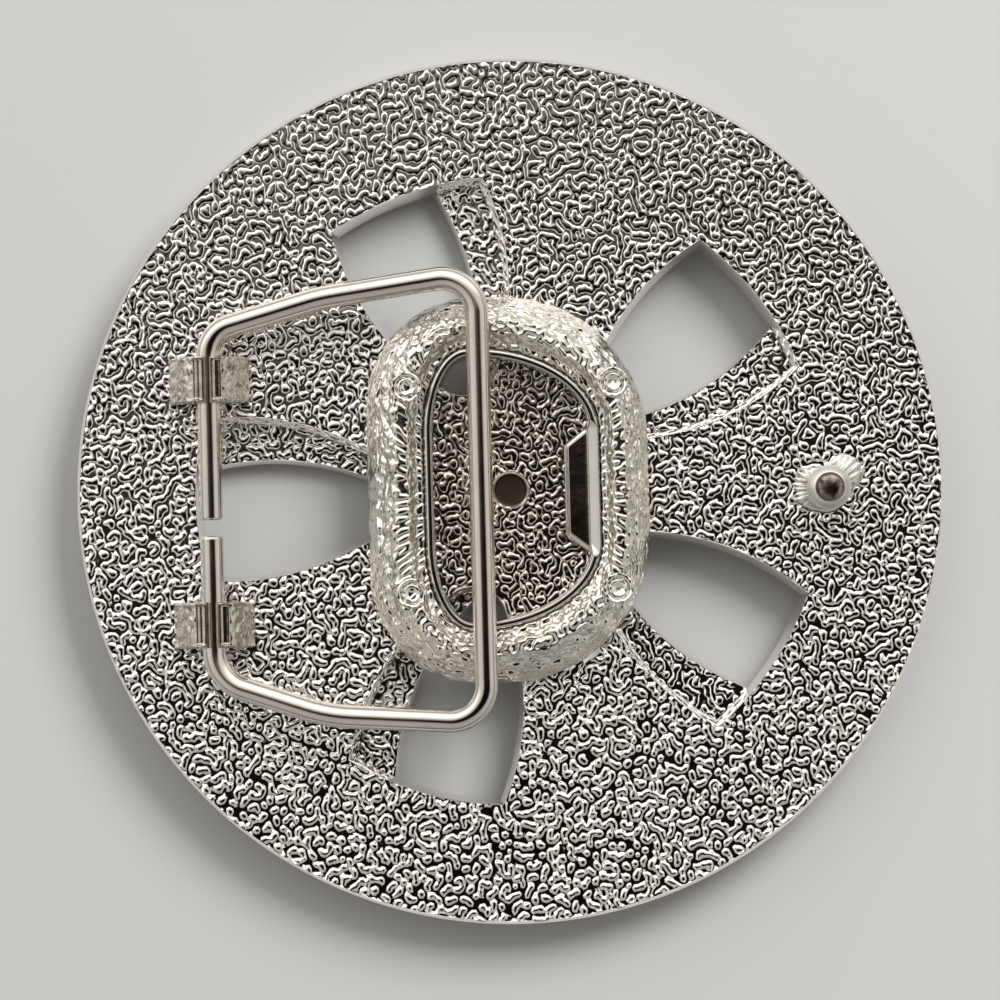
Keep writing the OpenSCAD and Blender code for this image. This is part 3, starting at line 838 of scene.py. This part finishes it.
def make_insert(n=480):
    build = Build()
    rows = []
    line = mouth_outline(0, n)
    from_end = TONGUE_ROOT / 2 + 0.1 - np.abs(line[:, 1] - TONGUE_SHIFT)
    beside = np.clip(from_end / 0.7, 0, 1) * (line[:, 0] > 0)
    for (g0, z0), (g1, z1) in zip(LIP, ROOT):
        flat = mouth_outline(g0, n) * (1 - beside)[:, None] + mouth_outline(g1, n) * beside[:, None]
        rows.append(build.add(np.c_[ring_frame(flat), BACK_Z + z0 + (z1 - z0) * beside]))
    build.rows(rows + rows[:1])
    make_piece("insert_lip", build, BRIGHT, "back", "opener_insert", sharp=50)


def tongue_edge(inset, n=16, n_corner=8):
    """The tongue's free edge from its upper root to its lower one, moved inward by inset."""
    half = np.array([[MOUTH_X - 0.1, TONGUE_ROOT / 2], [MOUTH_X - TONGUE_REACH, TONGUE_TIP / 2]])
    along = (half[1] - half[0]) / np.hypot(*(half[1] - half[0]))
    inward = np.array([-along[1], along[0]])
    centre = half[1] + TONGUE_CORNER * (inward + [1, 0]) / (1 + inward[0])
    start = math.atan2(-inward[1], -inward[0])
    corner = arc(centre, TONGUE_CORNER - inset, start, math.pi, n_corner)
    root = half[0] + inset * inward
    side = root + (corner[0] - root) * np.linspace(0, 1, n)[:-1, None]
    upper = np.r_[side, corner]
    lower = upper[::-1] * [1, -1]
    tip = upper[-1] + (lower[0] - upper[-1]) * np.linspace(0, 1, n)[1:-1, None]
    return np.r_[upper, tip, lower] + [0, TONGUE_SHIFT]


def make_tongue():
    """Tongue whose face bends up into the insert's wall at its root, with a bead along its edge."""
    bend_x, end_x, rise = TONGUE_BEND
    bottom_z = BACK_Z + TONGUE_FACE - TONGUE_T

    def lifted(flat, z):
        bend = rise * np.clip((flat[:, 0] - bend_x) / (end_x - bend_x), 0, 1) ** 2
        return build.add(np.c_[ring_frame(flat), BACK_Z + TONGUE_FACE + z + bend])

    def close():
        for a, b in zip(rows, rows[1:] + rows[:1]):
            build.strip(a, b, closed=False)
        build.faces += [tuple(row[0] for row in rows), tuple(row[-1] for row in rows)]

    build = Build()
    rows = [build.ring(ring_frame(tongue_edge(TONGUE_BEVEL)), bottom_z),
            build.ring(ring_frame(tongue_edge(0)), bottom_z + TONGUE_BEVEL)]
    rows += [lifted(tongue_edge(inset), z) for inset, z in TONGUE_RIM]
    inner = tongue_edge(TONGUE_RIM[-1][0])
    root = np.c_[np.full(len(inner), MOUTH_X), inner[:, 1]]
    for share in np.linspace(0, 1, 15)[1:]:
        rows.append(lifted(inner + (root - inner) * share, 0))
    rows.append(build.ring(ring_frame(root), bottom_z))
    close()
    make_piece("tongue", build, MIRROR, "back", "opener_insert", sharp=20)
    build = Build()
    rows = [lifted(tongue_edge(inset), z) for inset, z in TONGUE_BEAD]
    close()
    make_piece("tongue_bead", build, WORN, "back", "opener_insert", sharp=35)


# Bail and its lugs

def heading(i):
    """Direction from one corner of the bail's path to the next."""
    return math.atan2(BAIL_PATH[i + 1][1] - BAIL_PATH[i][1], BAIL_PATH[i + 1][0] - BAIL_PATH[i][0])


def bail_stations(step=math.radians(3)):
    """Places along the wire in the bail's own plane, with the heading at each."""
    out = [(BAIL_PATH[0][0], BAIL_PATH[0][1], heading(0))]
    for i in range(1, len(BAIL_PATH) - 1):
        turn = (heading(i) - heading(i - 1) + math.pi) % (2 * math.pi) - math.pi
        r, a = BAIL_PATH[i][2] * math.copysign(1, turn), heading(i - 1)
        cut = BAIL_PATH[i][2] * abs(math.tan(turn / 2))
        x0, y0 = BAIL_PATH[i][0] - cut * math.cos(a), BAIL_PATH[i][1] - cut * math.sin(a)
        cx, cy = x0 - r * math.sin(a), y0 + r * math.cos(a)
        for h in np.linspace(a, a + turn, max(2, math.ceil(abs(turn) / step)) + 1):
            out.append((cx + r * math.sin(h), cy - r * math.cos(h), h))
    out.append((BAIL_PATH[-1][0], BAIL_PATH[-1][1], heading(len(BAIL_PATH) - 2)))
    return out


def make_bail(sides=32):
    stations = bail_stations()
    rounding = [(0, 0.84), (0.1, 0.95), (0.26, 1.0), (0.4, 1.0), (0.9, 1.0)]
    x, y, h = stations[0]
    start = [(x + d * math.cos(h), y + d * math.sin(h), h, s) for d, s in rounding]
    x, y, h = stations[-1]
    end = [(x - d * math.cos(h), y - d * math.sin(h), h, s) for d, s in reversed(rounding)]
    path = start + [(*p, 1.0) for p in stations[1:-1]] + end
    rise = math.asin((RING_H + REST_GAP + WIRE_R - HINGE_H) / BAIL_REACH)
    a = np.linspace(0, 2 * math.pi, sides, endpoint=False)

    def placed(p):
        """From the bail's own plane onto the plate."""
        q = np.stack([p[:, 0] * math.cos(rise) - p[:, 2] * math.sin(rise) - HINGE_X, p[:, 1],
                      p[:, 0] * math.sin(rise) + p[:, 2] * math.cos(rise) + BACK_Z + HINGE_H], -1)
        return turned(q, LAYOUT_TURN)

    build = Build()
    rows = []
    for x, y, h, s in path:
        side, up = WIRE_LOOK_R * s * np.cos(a), WIRE_LOOK_R * s * np.sin(a)
        rows.append(build.add(placed(np.c_[x - side * math.sin(h), y + side * math.cos(h), up])))
    build.rows(rows)
    build.faces += [tuple(rows[0]), tuple(rows[-1])]
    make_piece("bail_wire", build, WIRE, "bail", "bail")


# Section of a lug's ear from the slot over the lip and down the flank: distance from the slot's
# edge, and depth below the lip's top. The lip runs on along the ear's two ends.
EAR_LIP_END = 1.2
EAR = [
    (0, 0.62), (0, 0.3), (0.02, 0.12), (0.06, 0.03), (0.12, 0), (0.16, 0.02), (0.46, 0.2), (0.48, 0.36),
    (0.6, 0.37), (0.62, 0.28), (0.66, 0.28), (0.94, 0.38), (0.96, 0.48), (1.08, 0.49), (1.1, 0.36),
]
EAR_FLANK = [(EAR_LIP_END, 0.3), (1.3, 0.34), (1.7, 0.62), (2.2, 1.1), (2.7, 1.7), (3.1, 2.3), (3.4, 3.0),
             (3.6, 3.6), (3.7, LUG_H)]


def make_lugs(n_flank=34, n_long=40):
    flank = np.array(EAR_FLANK)
    along = np.r_[0, np.cumsum(np.hypot(*np.diff(flank, axis=0).T))]
    t = np.linspace(0, along[-1], n_flank)
    flank = np.c_[np.interp(t, along, flank[:, 0]), np.interp(t, along, flank[:, 1])]
    section = np.r_[EAR, flank]
    is_lip = np.arange(len(section)) < len(EAR)
    along = np.r_[0, np.cumsum(np.hypot(*np.diff(section, axis=0).T))]
    for seed, (name, (y0, y1, slot)) in enumerate(LUGS.items()):
        specks = Skin(0.7, 0.5, 31 + seed, spread=0.4)
        clouds = Skin(1.6, 0.0, 41 + seed, spread=0.4)
        build = Build()
        # The flank is stretched so that both lugs are equally wide
        reach = LUG_X - 0.05 - slot / 2
        out = section[:, 0]
        flank_out = EAR_LIP_END + (out - EAR_LIP_END) * (reach - EAR_LIP_END) / (out[-1] - EAR_LIP_END)
        out = np.where(is_lip, out, flank_out)
        ys = y0 + (y1 - y0) * (1 - np.cos(np.linspace(0, math.pi, n_long))) / 2
        for side in (-1, 1):
            rows = []
            for y in ys:
                end = min(y - y0, y1 - y)
                round_off = LUG_ROUND * (1 - min(1, end / LUG_ROUND)) ** 2
                lip = 0.3 * math.exp(-((end - LUG_ROUND) / 0.13) ** 2) * is_lip
                drop = np.where(along > 0.5, np.maximum(section[:, 1] - lip, 0.02), section[:, 1])
                where = np.full(len(section), y)
                bump = np.interp(specks.depth(along + 9 * side, where), [-0.05, 0.05, 0.2], [0, 0.08, 0.1])
                bump += 0.08 * np.sin(clouds.depth(along + 9 * side, where) * 3)
                bump *= np.clip((out - EAR_LIP_END) / 0.3, 0, 1) * 0.7
                x = slot / 2 + out + np.minimum(bump, 0.05) - round_off * ~is_lip
                z = LUG_H - drop + bump - round_off
                z = np.where(section[:, 1] > 3.9, 0, np.clip(z, 0, LUG_H))
                p = np.c_[side * x - HINGE_X, np.full(len(x), y), BACK_Z + z]
                p[-1, 2] -= LUG_SUNK
                rows.append(build.add(turned(p, LAYOUT_TURN)))
            low_x = side * (slot / 2 + 0.9) - HINGE_X
            low = [build.add(turned(np.array([[low_x, y, BACK_Z - LUG_SUNK]]), LAYOUT_TURN)) for y in ys]
            for a, b, la, lb in zip(rows[:-1], rows[1:], low[:-1], low[1:]):
                build.strip(a, b, closed=False)
                build.faces += [(a[0], b[0], lb[0], la[0]), (a[-1], b[-1], lb[0], la[0])]
            for row, corner in ((rows[0], low[0]), (rows[-1], low[-1])):
                for k in range(len(row) - 1):
                    build.faces.append((row[k], row[k + 1], corner[0]))
        make_piece(name, build, LUG, "back", "back_plate", sharp=40)


def make_boss(n=180):
    """Smooth foot of the stud with short radial streaks on one side and a longer tail on the other."""
    rng = np.random.default_rng(5)
    a = np.linspace(0, 2 * math.pi, n, endpoint=False)
    tail = np.exp(-((a - math.radians(42)) / 0.62) ** 4)
    fan = np.exp(-((a - math.radians(178)) / 0.95) ** 4)
    streak = sum(rng.uniform(0.3, 1) * np.cos(k * a + rng.uniform(0, 6.3)) for k in range(11, 41, 3)) / 3
    build = Build()
    rows = []
    for u in np.linspace(0, 1, 22):
        r = FOOT_R + u * (0.95 + (2.1 + 0.14 * streak) * tail + (0.95 + 0.3 * streak) * fan)
        z = 1.1 * (1 - u) ** 2.4 + tail * (0.72 + 0.16 * streak) * (1 - u) ** 1.1 * (1 - (1 - u) ** 8)
        z = z + fan * (0.2 + 0.12 * streak) * (1 - u)
        z = np.where(u > 0.97, -FOOT_SUNK, np.maximum(z, -0.1))
        rows.append(build.add(np.c_[STUD_X + r * np.cos(a), STUD_Y + r * np.sin(a), BACK_Z + z]))
    rows.append(build.ring(circle(FOOT_R, n, (STUD_X, STUD_Y)), BACK_Z - FOOT_SUNK))
    build.rows(rows + rows[:1])
    make_piece("stud_boss", build, FOOT, "back", "back_plate", sharp=60)


make_plate()
make_wheel()
make_axle()
make_ring()
make_insert()
make_tongue()
make_rivets()
make_bail()
make_lugs()
make_stud()
make_boss()


# Stage

# The room's light: strength, and colours over directions from straight up. The dark patch overhead is
# an ellipse, with its middle and half widths along X and Y.
ROOM_STRENGTH = 1.8
PATCH_AT, PATCH_REACH = (0.12, -0.12), (0.60, 0.38)
PATCH_RAMP = [
    (0.0, (0.003, 0.0025, 0.002)), (0.34, (0.005, 0.004, 0.003)), (0.44, (0.05, 0.04, 0.032)),
    (0.54, (0.42, 0.40, 0.375)), (1.0, (0.54, 0.53, 0.51)),
]
SIDE_SKEW = -0.25
SIDE_RAMP = [
    (0.0, (0, 0, 0)), (0.05, (0.005, 0.004, 0.003)), (0.09, (0.034, 0.029, 0.024)),
    (0.13, (0.085, 0.077, 0.067)), (0.24, (0.13, 0.124, 0.113)), (0.46, (0.62, 0.61, 0.59)),
    (0.75, (0.92, 0.91, 0.89)), (1.0, (0.92, 0.91, 0.89)),
]
AROUND_RAMP = [(0.0, (0.48,) * 3), (0.5, (0.82,) * 3), (1.0, (1.0,) * 3)]
LOW_RAMP = [(0.42, (1.0,) * 3), (0.60, (0.85,) * 3), (0.72, (0.3,) * 3), (1.0, (0.22,) * 3)]

# Floor and lamp, in metres and watts
FLOOR_HALF = 3.0
FLOOR_DARK, FLOOR_LIGHT = (0.455, 0.455, 0.448), (0.475, 0.475, 0.468)
KEY_SIZE, KEY_POWER = 0.55, 10.5
KEY_ZENITH, KEY_TURN = 50, 42

# Camera: distance, lean towards -Y, width of the view at the target, and the target itself
VIEW_DISTANCE, VIEW_LEAN, VIEW_WIDTH = 500, 2.5, 109.83
VIEW_TARGET = (-1.15, -1.15, BACK_Z)
SENSOR = 36


def make_floor():
    mesh = bpy.data.meshes.new("floor")
    s = FLOOR_HALF
    mesh.from_pydata([(-s, -s, 0), (s, -s, 0), (s, s, 0), (-s, s, 0)], [], [(0, 1, 2, 3)])
    obj = bpy.data.objects.new("floor", mesh)
    bpy.context.scene.collection.objects.link(obj)
    mat = bpy.data.materials.new("floor_paint")
    mat.use_nodes = True
    nodes, links = mat.node_tree.nodes, mat.node_tree.links
    shader = nodes["Principled BSDF"]
    shader.inputs["Roughness"].default_value = 0.9
    cloud = nodes.new("ShaderNodeTexNoise")
    cloud.inputs["Scale"].default_value = 30
    tint = nodes.new("ShaderNodeMix")
    tint.data_type = "RGBA"
    tint.inputs[6].default_value = (*FLOOR_DARK, 1)
    tint.inputs[7].default_value = (*FLOOR_LIGHT, 1)
    links.new(cloud.outputs["Fac"], tint.inputs[0])
    links.new(tint.outputs[2], shader.inputs["Base Color"])
    mesh.materials.append(mat)


def make_world():
    """Light room with a soft dark patch overhead and a bright side towards +Y."""
    world = bpy.data.worlds.new("studio")
    bpy.context.scene.world = world
    world.use_nodes = True
    nodes, links = world.node_tree.nodes, world.node_tree.links
    back = nodes["Background"]

    def math_node(kind, a, b=None):
        node = nodes.new("ShaderNodeMath")
        node.operation = kind
        for socket, value in zip(node.inputs, (a, b)):
            if value is None:
                continue
            if isinstance(value, (int, float)):
                socket.default_value = value
            else:
                links.new(value, socket)
        return node.outputs[0]

    def ramp(value, stops):
        node = nodes.new("ShaderNodeValToRGB")
        first, last = node.color_ramp.elements
        first.position, first.color = stops[0][0], (*stops[0][1], 1)
        last.position, last.color = stops[-1][0], (*stops[-1][1], 1)
        for position, colour in stops[1:-1]:
            node.color_ramp.elements.new(position).color = (*colour, 1)
        links.new(value, node.inputs[0])
        return node.outputs[0]

    def length(a, b):
        return math_node("SQRT", math_node("ADD", math_node("MULTIPLY", a, a), math_node("MULTIPLY", b, b)))

    def blend(kind, a, b):
        mix = nodes.new("ShaderNodeMix")
        mix.data_type = "RGBA"
        mix.blend_type = kind
        mix.inputs[0].default_value = 1.0
        links.new(a, mix.inputs[6])
        links.new(b, mix.inputs[7])
        return mix.outputs[2]

    where = nodes.new("ShaderNodeTexCoord")
    split = nodes.new("ShaderNodeSeparateXYZ")
    links.new(where.outputs["Generated"], split.inputs[0])
    x, y, z = split.outputs
    # Twice the tangent of half the angle from straight up, along X and Y
    lift = math_node("MAXIMUM", math_node("ADD", z, 1.0), 0.05)
    u = math_node("DIVIDE", math_node("MULTIPLY", x, 2.0), lift)
    v = math_node("DIVIDE", math_node("MULTIPLY", y, 2.0), lift)
    across = math_node("DIVIDE", math_node("ADD", u, -PATCH_AT[0]), PATCH_REACH[0])
    along = math_node("DIVIDE", math_node("ADD", v, -PATCH_AT[1]), PATCH_REACH[1])
    patch = ramp(math_node("MULTIPLY", length(across, along), 0.5), PATCH_RAMP)
    side = ramp(math_node("ADD", v, math_node("MULTIPLY", u, SIDE_SKEW)), SIDE_RAMP)
    # The room is duller towards -Y and close to the horizon
    r = math_node("MAXIMUM", length(u, v), 0.001)
    facing = math_node("ADD", math_node("MULTIPLY", math_node("DIVIDE", v, r), 0.5), 0.5)
    around = ramp(facing, AROUND_RAMP)
    low = ramp(math_node("MULTIPLY", r, 0.4), LOW_RAMP)
    room = blend("LIGHTEN", blend("MULTIPLY", patch, around), side)
    links.new(blend("MULTIPLY", room, low), back.inputs["Color"])
    back.inputs["Strength"].default_value = ROOM_STRENGTH


def make_camera():
    """Looks almost straight down, from slightly towards -Y."""
    cam = bpy.data.cameras.new("camera")
    cam.sensor_width = SENSOR
    cam.lens = SENSOR * VIEW_DISTANCE / VIEW_WIDTH
    cam.clip_start, cam.clip_end = 0.01, 20
    obj = bpy.data.objects.new("camera", cam)
    bpy.context.scene.collection.objects.link(obj)
    lean = math.radians(VIEW_LEAN)
    way = Vector((0, -math.sin(lean), math.cos(lean)))
    obj.location = (Vector(VIEW_TARGET) + way * VIEW_DISTANCE) * MM
    obj.rotation_euler = (lean, 0, 0)
    bpy.context.scene.camera = obj


def make_key():
    """Soft lamp towards +Y and +X."""
    data = bpy.data.lights.new("key", "AREA")
    data.shape = "DISK"
    data.size = KEY_SIZE
    data.energy = KEY_POWER
    obj = bpy.data.objects.new("key", data)
    bpy.context.scene.collection.objects.link(obj)
    zenith, turn = math.radians(KEY_ZENITH), math.radians(KEY_TURN)
    way = Vector((math.sin(zenith) * math.sin(turn), math.sin(zenith) * math.cos(turn), math.cos(zenith)))
    obj.location = way
    obj.rotation_euler = way.to_track_quat("Z", "Y").to_euler()
    obj.visible_glossy = False


make_floor()
make_key()
make_world()
make_camera()
bpy.context.scene.view_settings.view_transform = "Standard"
